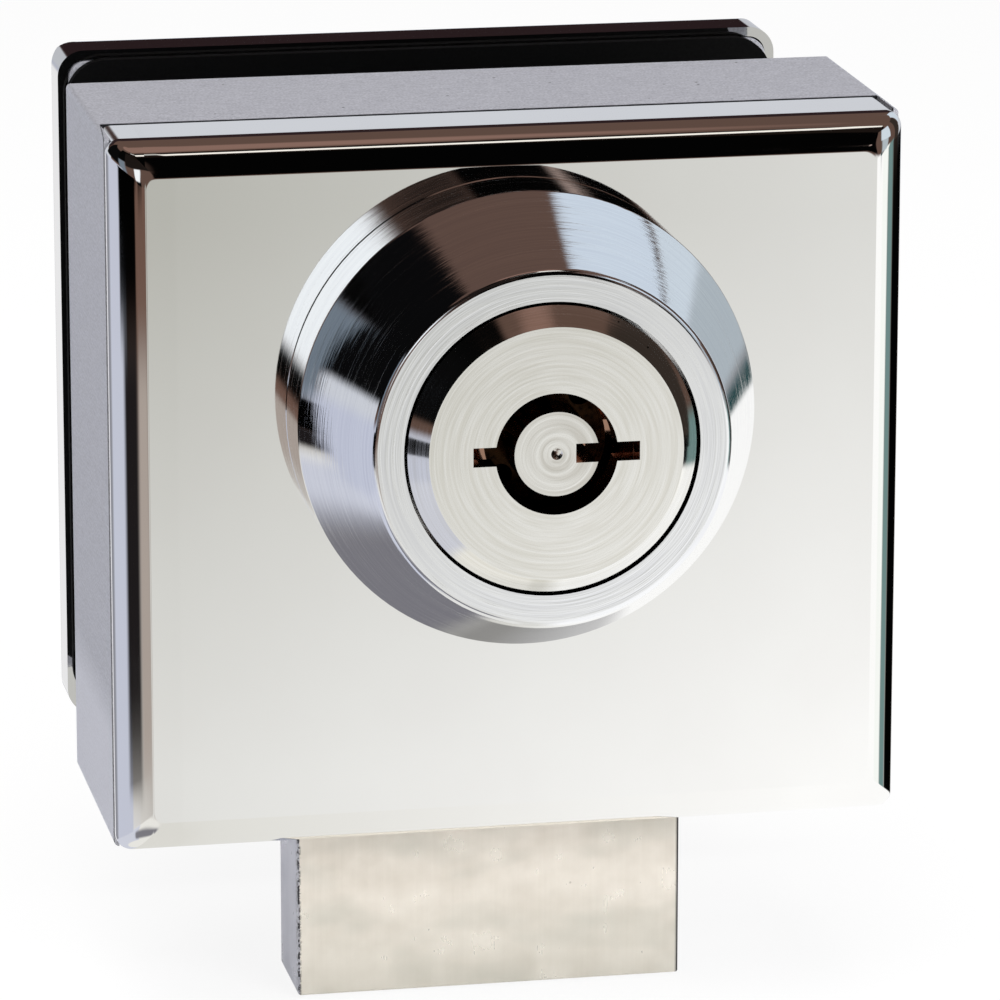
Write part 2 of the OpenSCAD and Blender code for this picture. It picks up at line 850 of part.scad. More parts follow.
module drum_pin() {
  color([0.6, 0.6, 0.6])
    translate([fix_gap, drum_pin_y, 0])
      rotate([0, 90, 0])
        cylinder(r = cross_r, h = drum_r - 2 * end_gap - fix_gap, $fn = small_fn);
}

module key_pins() {
  color([0.85, 0.75, 0.45])
    for (i = [0 : len(pin_turns) - 1])
      rotate([0, -pin_turns[i], 0])
        translate([pin_ring, 0, 0])
          turned([
            [0, y_shear - key_cuts[i]],
            [pin_r / 2, y_shear - key_cuts[i]],
            [pin_r, y_shear - key_cuts[i] + pin_r / 2],
            [pin_r, y_shear],
            [0, y_shear]], small_fn);
}

// Half the angle that a pinion tooth fills at a radius
function tooth_half(r) =
  let (lean = acos(base_r / r))
    half_tooth / pitch_r * 180 / PI
      + (tan(flank) * 180 / PI - flank) - (tan(lean) * 180 / PI - lean);

function polar(r, a) = [r * cos(a), r * sin(a)];

module pinion_outline() {
  radii = [for (i = [0 : flank_steps]) base_r + (tip_r - base_r) * i / flank_steps];
  polygon([for (k = [0 : teeth - 1])
    let (mid = 360 * (k + 0.5) / teeth)
      each concat(
        [polar(root_r, mid - tooth_half(base_r))],
        [for (i = [0 : flank_steps]) polar(radii[i], mid - tooth_half(radii[i]))],
        [for (i = [flank_steps : -1 : 0]) polar(radii[i], mid + tooth_half(radii[i]))],
        [polar(root_r, mid + tooth_half(base_r))])]);
}

module pinion() {
  color([0.8, 0.7, 0.45])
    slab(y_pinion, y_pinion_b)
      difference() {
        pinion_outline();
        square(square_w + 2 * fix_gap, center = true);
      }
}

module pinion_nut() {
  color([0.72, 0.72, 0.7])
    difference() {
      rod(tail_nut_w / sqrt(3), y_pinion_b, y_pinion_b + tail_nut_t, 6);
      rod(tail_r + thread_fit, y_pinion_b - cut, y_pinion_b + tail_nut_t + cut, small_fn);
    }
}

// The flat of the bolt inside the case: two arms beside the pinion, one with rack teeth
module bolt_plate() {
  difference() {
    translate([-bolt_in_w / 2, z_shoulder])
      square([bolt_in_w, arm_rise - z_shoulder]);
    translate([-slot_x, slot_z])
      square([slot_x + rack_root, arm_rise - slot_z + cut]);
  }
  for (k = [0 : rack_teeth - 1])
    translate([0, -k * tooth_pitch])
      rack_tooth();
}

module rack_tooth() {
  inside = cut / 2;
  polygon([
    [rack_root + inside, half_tooth + (rack_root - pitch_r) * tan(flank)],
    [rack_root, half_tooth + (rack_root - pitch_r) * tan(flank)],
    [rack_tip, half_tooth - (pitch_r - rack_tip) * tan(flank)],
    [rack_tip, -half_tooth + (pitch_r - rack_tip) * tan(flank)],
    [rack_root, -half_tooth - (rack_root - pitch_r) * tan(flank)],
    [rack_root + inside, -half_tooth - (rack_root - pitch_r) * tan(flank)]]);
}

// A rectangle with its corners cut off
module bevel_rect(w, h, b) {
  polygon([
    [-w / 2 + b, -h / 2], [w / 2 - b, -h / 2], [w / 2, -h / 2 + b], [w / 2, h / 2 - b],
    [w / 2 - b, h / 2], [-w / 2 + b, h / 2], [-w / 2, h / 2 - b], [-w / 2, -h / 2 + b]]);
}

// The bolt's throw, bevelled along its edges
module bolt_throw() {
  high = z_shoulder - z_tip + bolt_bevel;
  z_half = z_tip + high / 2;
  y_half = (y_bolt_f + y_bolt_b) / 2;
  intersection() {
    translate([0, y_half, z_tip])
      linear_extrude(high - bolt_bevel + eps)
        bevel_rect(bolt_w, bolt_t, bolt_bevel);
    translate([0, 0, z_half])
      slab(y_bolt_f - cut, y_bolt_b + cut)
        bevel_rect(bolt_w, high, bolt_bevel);
    translate([-bolt_w, y_half, z_half])
      rotate([90, 0, 90])
        linear_extrude(2 * bolt_w)
          bevel_rect(bolt_t, high, bolt_bevel);
  }
}

module bolt() {
  color([0.82, 0.79, 0.72])
    union() {
      slab(y_bolt_f, y_bolt_b)
        bolt_plate();
      bolt_throw();
    }
}

module gasket(y0, y1) {
  difference() {
    translate([0, 0, z_mid])
      slab(y0, y1)
        round_rect(rear_w - 2 * gasket_inset, rear_h - 2 * gasket_inset, gasket_corner);
    at_clamps()
      rod(sleeve_r + screw_clear, y0 - cut, y1 + cut, small_fn);
  }
}

module front_gasket() {
  color([0.05, 0.05, 0.06])
    gasket(y_back, 0);
}

module rear_gasket() {
  color([0.05, 0.05, 0.06])
    gasket(y_rear_pad, y_clamp);
}

module screw_sleeves() {
  color([0.1, 0.1, 0.11])
    at_clamps()
      difference() {
        rod(sleeve_r, y_back, y_clamp, small_fn);
        rod(clamp_screw_r + screw_clear, y_back - cut, y_clamp + cut, small_fn);
      }
}

module clamp_plate() {
  color([0.5, 0.5, 0.53])
    difference() {
      translate([0, 0, z_mid])
        slab(y_clamp, y_clamp_b)
          round_rect(clamp_w, clamp_h, rear_corner - sheet_t);
      at_clamps()
        rod(clamp_screw_r + screw_clear, y_clamp - cut, y_clamp_b + cut, small_fn);
    }
}

module clamp_screws() {
  color([0.3, 0.3, 0.32])
    at_clamps()
      difference() {
        turned([
          [0, y_clamp_b - clamp_len],
          [clamp_screw_r, y_clamp_b - clamp_len],
          [clamp_screw_r, y_clamp_b],
          [clamp_head_r, y_clamp_b],
          [clamp_head_r, y_clamp_b + clamp_head_h],
          [0, y_clamp_b + clamp_head_h]], small_fn);
        rod(clamp_socket / sqrt(3), y_clamp_b + clamp_head_h - clamp_socket_d,
          y_clamp_b + clamp_head_h + cut, 6);
      }
}

module rear_cover() {
  color([0.86, 0.86, 0.85])
    translate([0, y_rear_end, z_mid])
      mirror([0, 1, 0])
        pan(rear_w, rear_h, rear_depth, rear_bend_r, rear_corner);
}

front_cover();
case();
case_lid();
lid_screws();
bolt_keeper();
keeper_screws();
collar();
cylinder_shell();
nut_washer();
ring_nut();
pin_housing();
housing_pin();
driver_pins();
pin_springs();
spindle();
tumbler_drum();
drum_pin();
key_pins();
pinion();
pinion_nut();
bolt();
front_gasket();
screw_sleeves();
rear_gasket();
clamp_plate();
clamp_screws();
rear_cover();
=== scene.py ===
import math
import bpy
import bmesh
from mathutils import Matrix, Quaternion, Vector


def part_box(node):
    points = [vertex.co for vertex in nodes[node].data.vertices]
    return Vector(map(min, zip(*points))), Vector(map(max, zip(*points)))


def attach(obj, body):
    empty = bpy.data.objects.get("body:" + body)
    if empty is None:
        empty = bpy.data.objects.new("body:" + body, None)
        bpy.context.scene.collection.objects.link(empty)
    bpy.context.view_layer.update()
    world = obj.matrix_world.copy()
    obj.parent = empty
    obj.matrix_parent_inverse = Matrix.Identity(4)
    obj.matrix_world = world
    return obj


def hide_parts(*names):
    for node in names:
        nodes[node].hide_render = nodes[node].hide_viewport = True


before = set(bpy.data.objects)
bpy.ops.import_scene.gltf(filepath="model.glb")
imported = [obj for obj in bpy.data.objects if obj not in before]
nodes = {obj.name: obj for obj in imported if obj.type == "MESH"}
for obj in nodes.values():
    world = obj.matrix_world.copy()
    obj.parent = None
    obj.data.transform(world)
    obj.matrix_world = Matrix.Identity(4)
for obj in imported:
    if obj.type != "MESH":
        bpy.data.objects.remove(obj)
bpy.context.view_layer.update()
print("frame loaded:", len(nodes), "nodes")

mm = 0.001  # one millimetre in metres
white = (1, 1, 1, 1)
scene = bpy.context.scene
scene.view_settings.view_transform = "Standard"


# sRGB hex to the linear colour that shaders take
def linear(hexColour):
    channels = [int(hexColour[i:i + 2], 16) / 255 for i in (1, 3, 5)]
    rgb = [c / 12.92 if c <= 0.04045 else ((c + 0.055) / 1.055) ** 2.4 for c in channels]
    return (*rgb, 1.0)


# adds a node and gives one of its outputs: feeds are its inputs, as links or plain values
def add(tree, kind, feeds=None, out=0, **settings):
    node = tree.nodes.new("ShaderNode" + kind)
    for name, value in settings.items():
        setattr(node, name, value)
    for name, value in (feeds or {}).items():
        if isinstance(value, bpy.types.NodeSocket):
            tree.links.new(value, node.inputs[name])
        else:
            node.inputs[name].default_value = value
    return node.outputs[out] if node.outputs else node


# Camera: long lens, a little left of and above the lock, as in the photograph
photoCamera = {
    "azimuthDeg": 11.15,
    "elevationDeg": 14.53,
    "rollDeg": 0.03,
    "distanceMm": 526.44,
    "targetMm": (1.14, -15.9, -10.87),
    "lensMm": 233.96,
    "sensorMm": 36,
}


def makeCamera(spec):
    az = math.radians(spec["azimuthDeg"])
    el = math.radians(spec["elevationDeg"])
    back = Vector((-math.sin(az) * math.cos(el), -math.cos(az) * math.cos(el), math.sin(el)))
    data = bpy.data.cameras.new("photoCamera")
    data.lens = spec["lensMm"]
    data.sensor_width = spec["sensorMm"]
    cam = bpy.data.objects.new("photoCamera", data)
    scene.collection.objects.link(cam)
    cam.location = (Vector(spec["targetMm"]) + back * spec["distanceMm"]) * mm
    cam.rotation_mode = "QUATERNION"
    roll = Quaternion((0, 0, 1), math.radians(spec["rollDeg"]))
    cam.rotation_quaternion = (-back).to_track_quat("-Z", "Y") @ roll
    scene.camera = cam


makeCamera(photoCamera)
print("camera placed")

# Floor: pale paper just under the thrown bolt's nose
floorPaper = {
    "halfSizeMm": 3000,
    "cells": 4,
    "dropMm": 0.3,
    "colour": "#F2F2F2",
    "cameraWhite": 0.9,
}


def makeFloor(spec):
    mesh = bpy.data.meshes.new("floorPaper")
    bm = bmesh.new()
    cells = spec["cells"]
    bmesh.ops.create_grid(bm, x_segments=cells, y_segments=cells, size=spec["halfSizeMm"] * mm)
    bm.to_mesh(mesh)
    bm.free()
    floor = bpy.data.objects.new("floorPaper", mesh)
    scene.collection.objects.link(floor)
    floor.location.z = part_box("bolt")[0].z - spec["dropMm"] * mm
    floor.visible_glossy = False  # metal sees the studio panels below, which are as pale
    mat = bpy.data.materials.new("whitePaper")
    mat.use_nodes = True
    tree = mat.node_tree
    tree.nodes.clear()
    seen = add(tree, "LightPath", out="Is Camera Ray")
    paper = add(tree, "BsdfDiffuse", {"Color": linear(spec["colour"])})
    glow = add(tree, "Emission", {"Color": white, "Strength": 1.0})
    share = add(tree, "Math", {0: seen, 1: spec["cameraWhite"]}, operation="MULTIPLY")
    add(tree, "OutputMaterial", {"Surface": add(tree, "MixShader", {0: share, 1: paper, 2: glow})})
    mesh.materials.append(mat)


makeFloor(floorPaper)

# Soft lamps for the floor's shadow and the matt pieces
softLamps = [
    {"name": "overheadSoftbox", "fromMm": (-150, -250, 800), "sizeMm": 700, "watts": 11.0},
    {"name": "frontSoftbox", "fromMm": (350, -750, 350), "sizeMm": 500, "watts": 7.0},
]


def makeLamp(spec):
    data = bpy.data.lights.new(spec["name"], "AREA")
    data.size = spec["sizeMm"] * mm
    data.energy = spec["watts"]
    lamp = bpy.data.objects.new(spec["name"], data)
    scene.collection.objects.link(lamp)
    lamp.location = Vector(spec["fromMm"]) * mm
    aim = Vector(photoCamera["targetMm"]) * mm - lamp.location
    lamp.rotation_mode = "QUATERNION"
    lamp.rotation_quaternion = aim.to_track_quat("-Z", "Y")
    lamp.visible_glossy = False  # mirror faces show the panels, not the lamps


for lampSpec in softLamps:
    makeLamp(lampSpec)

# Studio around the lock, as the polished metal sees it: each panel is a patch of directions,
# azimuth from the front towards the right and elevation above the horizon, in degrees; soft is how wide
# its edge fades, and softUp how wide the upper and lower edge does where that differs
studioRoom = {"upper": "#5E4A42", "lower": "#E9E8E4", "horizon": (-20, -13)}
studioPanels = [
    {"name": "overhead", "azimuth": (-180, 180), "elevation": (77, 91), "soft": 5, "colour": "#86695F"},
    {"name": "backWall", "azimuth": (112, 248), "elevation": (-12, 13), "soft": 1.5, "colour": "#CDD0D7"},
    {"name": "backRail", "azimuth": (150, 215), "elevation": (13.2, 38), "soft": 3, "colour": "#2C2022"},
    {"name": "backWindow", "azimuth": (117, 152), "elevation": (12, 53), "soft": 3, "colour": "#CDD8E4"},
    {"name": "leftDark", "azimuth": (-142, -66), "elevation": (5, 57), "soft": 4, "colour": "#0A0A0B"},
    {"name": "leftGlow", "azimuth": (-70, -46), "elevation": (-6, 26), "soft": 9, "colour": "#717C88"},
    {"name": "leftTop", "azimuth": (-72, -20), "elevation": (25, 68), "soft": 4, "colour": "#060606"},
    {"name": "leftFloor", "azimuth": (-190, -36), "elevation": (-62, -20),
     "soft": 6, "colour": "#CED1DE"},
    {"name": "leftPaper", "azimuth": (-190, -62), "elevation": (-26, -2), "soft": 6, "colour": "#C2C6D6"},
    {"name": "leftCorner", "azimuth": (-163, -138), "elevation": (-26, -6),
     "soft": 14, "softUp": 4, "colour": "#8C8D96"},
    {"name": "leftEnd", "azimuth": (-179, -164), "elevation": (-26, -4), "soft": 2, "colour": "#FAFAFC"},
    {"name": "backEdge", "azimuth": (-200, -179), "elevation": (-26, -7), "soft": 6, "colour": "#74777E"},
    {"name": "shadowLow", "azimuth": (-74, -27), "elevation": (-17.2, -12.6),
     "soft": 16, "softUp": 2, "colour": "#1E1B1C"},
    {"name": "shadow", "azimuth": (-86, -24), "elevation": (-13.0, -5),
     "soft": 8, "softUp": 0.8, "colour": "#020202"},
    {"name": "tableEdge", "azimuth": (-28, 4), "elevation": (-13.2, -11),
     "soft": 5, "softUp": 1, "colour": "#6B5248"},
    {"name": "tableGlow", "azimuth": (-24, 4), "elevation": (-17, -13.2),
     "soft": 12, "softUp": 1, "colour": "#A99E97"},
    {"name": "tableDark", "azimuth": (-18, -4.5), "elevation": (-11.4, -7),
     "soft": 1.5, "colour": "#060606"},
    {"name": "frontShade", "azimuth": (-44, 5), "elevation": (14, 60), "soft": 4, "colour": "#1C1715"},
    {"name": "frontHigh", "azimuth": (-20, 46), "elevation": (47, 74), "soft": 3, "colour": "#1A1411"},
    {"name": "frontDark", "azimuth": (4.5, 24), "elevation": (-7.5, 60),
     "soft": 1.5, "colour": "#030303"},
    {"name": "frontStripe", "azimuth": (-12, 16), "elevation": (67.5, 72),
     "soft": 1.5, "colour": "#B4B2AE"},
    {"name": "frontStrip", "azimuth": (14, 46), "elevation": (64, 69), "soft": 1.5, "colour": "#FFFAF2"},
    {"name": "frontCard", "azimuth": (-20, -7.5), "elevation": (-7, 13.5),
     "soft": 3, "colour": "#F4F8FC"},
    {"name": "frontGlint", "azimuth": (15.2, 18), "elevation": (5, 9), "soft": 1, "colour": "#A8948C"},
    {"name": "rightPaper", "azimuth": (20, 48), "elevation": (-40, -9), "soft": 4, "colour": "#FFFFFF"},
    {"name": "rightLight", "azimuth": (45, 66), "elevation": (-30, -3), "soft": 5, "colour": "#F8FBF8"},
    {"name": "rightTeal", "azimuth": (66, 88), "elevation": (-26, -3), "soft": 8, "colour": "#6F8B8A"},
    {"name": "tealEdge", "azimuth": (35, 40), "elevation": (-10.8, -7.2),
     "soft": 1.2, "colour": "#063C3F"},
    {"name": "rightHaze", "azimuth": (36, 54), "elevation": (-7, 13), "soft": 5, "colour": "#B0BAC2"},
    {"name": "rightWindow", "azimuth": (34, 62), "elevation": (12, 47), "soft": 3, "colour": "#CFDAE5"},
    {"name": "rightDark", "azimuth": (90, 150), "elevation": (-26, -8), "soft": 6, "colour": "#030303"},
    {"name": "rightShade", "azimuth": (84, 113), "elevation": (-10, 52), "soft": 5, "colour": "#332C28"},
    {"name": "floorShade", "azimuth": (-48, 4), "elevation": (-56, -32),
     "soft": 9, "softUp": 12, "colour": "#7C7B82"},
    {"name": "floorHalf", "azimuth": (3, 18), "elevation": (-36, -25),
     "soft": 6, "softUp": 9, "colour": "#DAD9D6"},
]
# the sheet of paper that the flat front mirrors, brighter near and to the right
paperSweep = {
    "azimuth": (3.5, 24), "elevation": (-21, -9.3), "soft": 1.5,
    "dim": "#B6B6B0", "bright": "#FFFFFF",
    "acrossDeg": (8.0, 14.4), "acrossShare": 0.46,
    "downDeg": (-12.0, -17.0), "downShare": 0.54,
}
# the paper goes on below, where the bottom bend mirrors it: a band of directions by their share of X
floorSweep = {
    "elevation": (-91, -20), "soft": 3,
    "acrossX": (0.06, 0.95), "softX": 0.05,
    "dim": "#DCDBD6", "bright": "#FFFFFF", "brightensX": (0.13, 0.23),
}


def makeStudio():
    world = bpy.data.worlds.new("softStudio")
    world.use_nodes = True
    scene.world = world
    tree = world.node_tree
    tree.nodes.clear()
    x, y, z = add(tree, "SeparateXYZ", {0: add(tree, "TexCoord", out="Generated")}).node.outputs
    front = add(tree, "Math", {0: y, 1: -1.0}, operation="MULTIPLY")
    turn = add(tree, "Math", {0: x, 1: front}, operation="ARCTAN2")
    azimuth = add(tree, "Math", {0: turn}, operation="DEGREES")
    rise = add(tree, "Math", {0: z}, operation="ARCSINE")
    elevation = add(tree, "Math", {0: rise}, operation="DEGREES")

    # 1 inside a span, fading to 0 over its soft edge; azimuths wrap at the back
    def inside(angle, span, soft, wraps=False):
        middle, half = (span[0] + span[1]) / 2, (span[1] - span[0]) / 2
        off = add(tree, "Math", {0: angle, 1: middle}, operation="SUBTRACT")
        if wraps:
            off = add(tree, "Math", {0: off, 1: 180.0, 2: -180.0}, operation="WRAP")
        off = add(tree, "Math", {0: off}, operation="ABSOLUTE")
        return add(tree, "MapRange", {0: off, 1: half - soft / 2, 2: half + soft / 2, 3: 1.0, 4: 0.0},
                   interpolation_type="SMOOTHSTEP")

    # lays a patch of directions over what is there
    def lay(under, spec, over):
        wide = inside(azimuth, spec["azimuth"], spec["soft"], wraps=True)
        high = inside(elevation, spec["elevation"], spec.get("softUp", spec["soft"]))
        mask = add(tree, "Math", {0: wide, 1: high}, operation="MULTIPLY")
        return add(tree, "Mix", {0: mask, 6: under, 7: over}, 2, data_type="RGBA")

    low, high = studioRoom["horizon"]
    sky = add(tree, "MapRange", {0: elevation, 1: low, 2: high})
    below, above = linear(studioRoom["lower"]), linear(studioRoom["upper"])
    colour = add(tree, "Mix", {0: sky, 6: below, 7: above}, 2, data_type="RGBA")
    for panel in studioPanels:
        colour = lay(colour, panel, linear(panel["colour"]))
    (left, right), (top, bottom) = paperSweep["acrossDeg"], paperSweep["downDeg"]
    across = add(tree, "MapRange", {0: azimuth, 1: left, 2: right, 4: paperSweep["acrossShare"]})
    down = add(tree, "MapRange", {0: elevation, 1: top, 2: bottom, 4: paperSweep["downShare"]})
    bright = add(tree, "Math", {0: across, 1: down}, operation="ADD")
    dim, lit = linear(paperSweep["dim"]), linear(paperSweep["bright"])
    sheet = add(tree, "Mix", {0: bright, 6: dim, 7: lit}, 2, data_type="RGBA")
    colour = lay(colour, paperSweep, sheet)
    start, end = floorSweep["brightensX"]
    shade = add(tree, "MapRange", {0: x, 1: start, 2: end})
    dim, lit = linear(floorSweep["dim"]), linear(floorSweep["bright"])
    sheet = add(tree, "Mix", {0: shade, 6: dim, 7: lit}, 2, data_type="RGBA")
    wide = inside(x, floorSweep["acrossX"], floorSweep["softX"])
    high = inside(elevation, floorSweep["elevation"], floorSweep["soft"])
    band = add(tree, "Math", {0: wide, 1: high}, operation="MULTIPLY")
    colour = add(tree, "Mix", {0: band, 6: colour, 7: sheet}, 2, data_type="RGBA")
    direct = add(tree, "LightPath", out="Is Camera Ray")
    seen = add(tree, "Mix", {0: direct, 6: colour, 7: white}, 2, data_type="RGBA")
    add(tree, "OutputWorld", {"Surface": add(tree, "Background", {"Color": seen, "Strength": 1.0})})


makeStudio()
print("studio lit")


# a new material, and the piece's own coordinates in millimetres
def newMaterial(name):
    mat = bpy.data.materials.new(name)
    mat.use_nodes = True
    tree = mat.node_tree
    tree.nodes.clear()
    place = add(tree, "TexCoord", out="Object")
    return mat, tree, add(tree, "VectorMath", {0: place, "Scale": 1 / mm}, operation="SCALE")


# ends a material with its colour, roughness and relief, whose height is in millimetres
def endMaterial(mat, tree, tone, metallic, rough, height, **more):
    bump = add(tree, "Bump", {"Height": height, "Strength": 1.0, "Distance": mm})
    feeds = {"Base Color": tone, "Metallic": metallic, "Roughness": rough, "Normal": bump, **more}
    add(tree, "OutputMaterial", {"Surface": add(tree, "BsdfPrincipled", feeds)})
    return mat


grainSpan = (0.3, 0.7)  # nearly all values of a grain lie between these


# uneven surface whose grain is so many millimetres long along X, Y and Z
def grain(tree, inMm, sizeMm, detail=2.0, rough=0.5):
    scaled = add(tree, "VectorMath", {0: inMm, 1: tuple(1 / s for s in sizeMm)}, operation="MULTIPLY")
    return add(tree, "TexNoise", {"Vector": scaled, "Scale": 1.0, "Detail": detail, "Roughness": rough})


pitCore = 0.6  # share of a pit's radius that is wholly dark


# small pits: specks in some of the cells
def pits(tree, inMm, spacingMm, radiusMm, share):
    away = add(tree, "TexVoronoi", {"Vector": inMm, "Scale": 1 / spacingMm}, "Distance", feature="F1")
    radius = radiusMm / spacingMm
    near = add(tree, "MapRange", {0: away, 1: pitCore * radius, 2: radius, 3: 1.0, 4: 0.0})
    pick = add(tree, "SeparateColor", {0: away.node.outputs["Color"]})
    kept = add(tree, "Math", {0: pick, 1: share}, operation="LESS_THAN")
    return add(tree, "Math", {0: near, 1: kept}, operation="MULTIPLY")


# how squarely a face looks along X, 0 to 1
def sideways(tree):
    x = add(tree, "SeparateXYZ", {0: add(tree, "NewGeometry", out="True Normal")})
    return add(tree, "Math", {0: x}, operation="ABSOLUTE")


# Polished stainless sheet, drawn and buffed: a mirror with faint smudges and buffing lines, drawn
# coarser than the real 0.05 mm to show; the front eases into its left bend; the rear is duller and
# its flanges lean a little
polishedFront = {
    "colour": "#FEFEFC", "smudge": "#FAF9F7",
    "roughness": (0.02, 0.05), "dullFrom": (0.3, 0.75),
    "smudgeMm": 9.0,
    "linesMm": 0.25, "linesLongMm": 9.0, "linesDeepMm": 0.0003,
    "easeFromXMm": -26.65, "easeMm": 2.4, "easeRoll": 0.006,
    "lean": 0.0,
}
polishedRear = dict(polishedFront, colour="#E0E0DE", smudge="#DAD9D7", easeRoll=0.0, lean=0.045)


def polishedStainless(name, spec):
    mat, tree, inMm = newMaterial(name)
    x, y = add(tree, "SeparateXYZ", {0: inMm}).node.outputs[:2]
    smudge = grain(tree, inMm, (spec["smudgeMm"],) * 3, detail=3.0)
    clean, smudged = linear(spec["colour"]), linear(spec["smudge"])
    tone = add(tree, "Mix", {0: smudge, 6: clean, 7: smudged}, 2, data_type="RGBA")
    least, most = spec["dullFrom"]
    smooth, dull = spec["roughness"]
    rough = add(tree, "MapRange", {0: smudge, 1: least, 2: most, 3: smooth, 4: dull})
    lines = grain(tree, inMm, (spec["linesLongMm"], spec["linesMm"], spec["linesLongMm"]))
    height = add(tree, "Math", {0: lines, 1: spec["linesDeepMm"]}, operation="MULTIPLY")
    toLeft = add(tree, "Math", {0: spec["easeFromXMm"], 1: x}, operation="SUBTRACT")
    toLeft = add(tree, "Clamp", {0: toLeft, 1: 0.0, 2: spec["easeMm"]})
    drop = add(tree, "Math", {0: toLeft, 1: toLeft}, operation="MULTIPLY")
    height = add(tree, "Math", {0: drop, 1: -spec["easeRoll"], 2: height}, operation="MULTIPLY_ADD")
    height = add(tree, "Math", {0: y, 1: spec["lean"], 2: height}, operation="MULTIPLY_ADD")
    return endMaterial(mat, tree, tone, 1.0, rough, height)


# Cast zinc, belt-sanded and satin plated: light grey-lilac, soft sheen, fine mottling,
# short sanding strokes, pinholes, painted shade along the seam with the cover, drawn ragged, and the
# sides painted lighter at the foot as light from the floor; the grit of about 0.1 mm is drawn twice as
# coarse, to show
satinCasting = {
    "dark": "#ABACB4", "light": "#D7D8E0", "pit": "#3E3E44", "seamShade": "#2E2E32",
    "metallic": 0.55, "roughness": (0.38, 0.5),
    "mottleMm": 0.2, "mottleShare": 0.72, "shadeFrom": (0.36, 0.64),
    "strokeMm": 1.3, "strokeWideMm": 0.18, "strokeDeepMm": 0.004,
    "pitSpacingMm": 1.3, "pitRadiusMm": 0.15, "pitShare": 0.22,
    # painted shade: a dark ragged line along the seam with the cover
    "seamTopMm": -18.9, "seamSideMm": -23.9, "seamShadeHalfMm": (0.25, 0.5), "seamShadeRaggedMm": 0.3,
    # painted light: a lighter tone low on the sides
    "nearFloor": "#F4F5FC", "footLightZMm": (-27.0, -23.0), "nearFloorShare": 0.55,
}


def satinZinc(name, spec):
    mat, tree, inMm = newMaterial(name)
    depth, up = add(tree, "SeparateXYZ", {0: inMm}).node.outputs[1:]
    long, thin = spec["strokeMm"], spec["strokeWideMm"]
    side = sideways(tree)
    strokesX = grain(tree, inMm, (long, thin, thin), detail=3.0)
    strokesY = grain(tree, inMm, (thin, long, thin), detail=3.0)
    strokes = add(tree, "Mix", {0: side, 2: strokesX, 3: strokesY}, data_type="FLOAT")
    mottle = grain(tree, inMm, (spec["mottleMm"],) * 3, detail=3.0, rough=0.6)
    blend = add(tree, "Mix", {0: spec["mottleShare"], 2: strokes, 3: mottle}, data_type="FLOAT")
    least, most = spec["shadeFrom"]
    shade = add(tree, "MapRange", {0: blend, 1: least, 2: most})
    hole = pits(tree, inMm, spec["pitSpacingMm"], spec["pitRadiusMm"], spec["pitShare"])
    # painted light: the sides turn lighter towards the foot, as light from the floor
    full, none = spec["footLightZMm"]
    foot = add(tree, "MapRange", {0: up, 1: full, 2: none, 3: spec["nearFloorShare"], 4: 0.0})
    foot = add(tree, "Math", {0: foot, 1: side}, operation="MULTIPLY")
    # painted shade along the seam with the cover, where its gap lies in shade
    seam = add(tree, "MapRange", {0: side, 3: spec["seamTopMm"], 4: spec["seamSideMm"]})
    away = add(tree, "Math", {0: depth, 1: seam}, operation="SUBTRACT")
    away = add(tree, "Math", {0: away}, operation="ABSOLUTE")
    away = add(tree, "Math", {0: strokes, 1: spec["seamShadeRaggedMm"], 2: away}, operation="MULTIPLY_ADD")
    full, none = (half + spec["seamShadeRaggedMm"] / 2 for half in spec["seamShadeHalfMm"])
    seamShade = add(tree, "MapRange", {0: away, 1: full, 2: none, 3: 1.0, 4: 0.0})
    tone = linear(spec["dark"])
    for mask, coat in ((shade, "light"), (hole, "pit"), (foot, "nearFloor"), (seamShade, "seamShade")):
        tone = add(tree, "Mix", {0: mask, 6: tone, 7: linear(spec[coat])}, 2, data_type="RGBA")
    least, most = grainSpan
    smooth, dull = spec["roughness"]
    rough = add(tree, "MapRange", {0: blend, 1: least, 2: most, 3: smooth, 4: dull})
    height = add(tree, "Math", {0: blend, 1: hole}, operation="SUBTRACT")
    height = add(tree, "Math", {0: height, 1: spec["strokeDeepMm"]}, operation="MULTIPLY")
    return endMaterial(mat, tree, tone, spec["metallic"], rough, height)


# Chrome plate over a turned steel collar: a mirror drawn out across fine turning marks, some of them
# dull, with painted shade low on the cone that greys its colour and its reflection; marks are drawn
# coarser than the real feed of about
# 0.08 mm, to show
turnedChrome = {
    "colour": "#FCFDFE", "streak": "#F1F2F5", "shadeFrom": (0.35, 0.65),
    "roughness": (0.05, 0.28), "dullFrom": (0.57, 0.77),
    "markMm": 0.22, "markLongRad": 0.6, "markDeepMm": 0.006,
    "anisotropic": 0.35, "anisotropicTurn": 0.25,
    "nick": "#3C3A3A", "nickSpacingMm": 3.2, "nickRadiusMm": 0.12, "nickShare": 0.12,
    "coneShade": "#C2C2C4", "coneShadeDown": (0.885, 0.966), "coneShadeFromYMm": (-41.6, -41.2),
}
# Nickel plate over the turned cylinder face: warm light grey, faint rings of tool marks;
# the keyway's inside is painted a darker brown, as shade in the bore; its marks too are drawn coarser
# than the real feed
turnedNickel = {
    "colour": "#FFFEFA", "streak": "#F1EFE8", "shadeFrom": (0.35, 0.65),
    "roughness": (0.06, 0.11), "dullFrom": grainSpan,
    "markMm": 0.24, "markLongRad": 0.8, "markDeepMm": 0.0022,
    "anisotropic": 0.4, "anisotropicTurn": 0.25,
    "nick": "#4A443E", "nickSpacingMm": 2.4, "nickRadiusMm": 0.12, "nickShare": 0.2,
    "inside": "#B08A76", "boreMm": 8.0, "faceMm": -44.2, "boreFadeMm": (0.2, 0.6),
}
# The same nickel on the post, whose end is turned more coarsely
turnedPost = dict(turnedNickel, markMm=0.4, markLongRad=4.0, markDeepMm=0.004, streak="#E2DFD8")


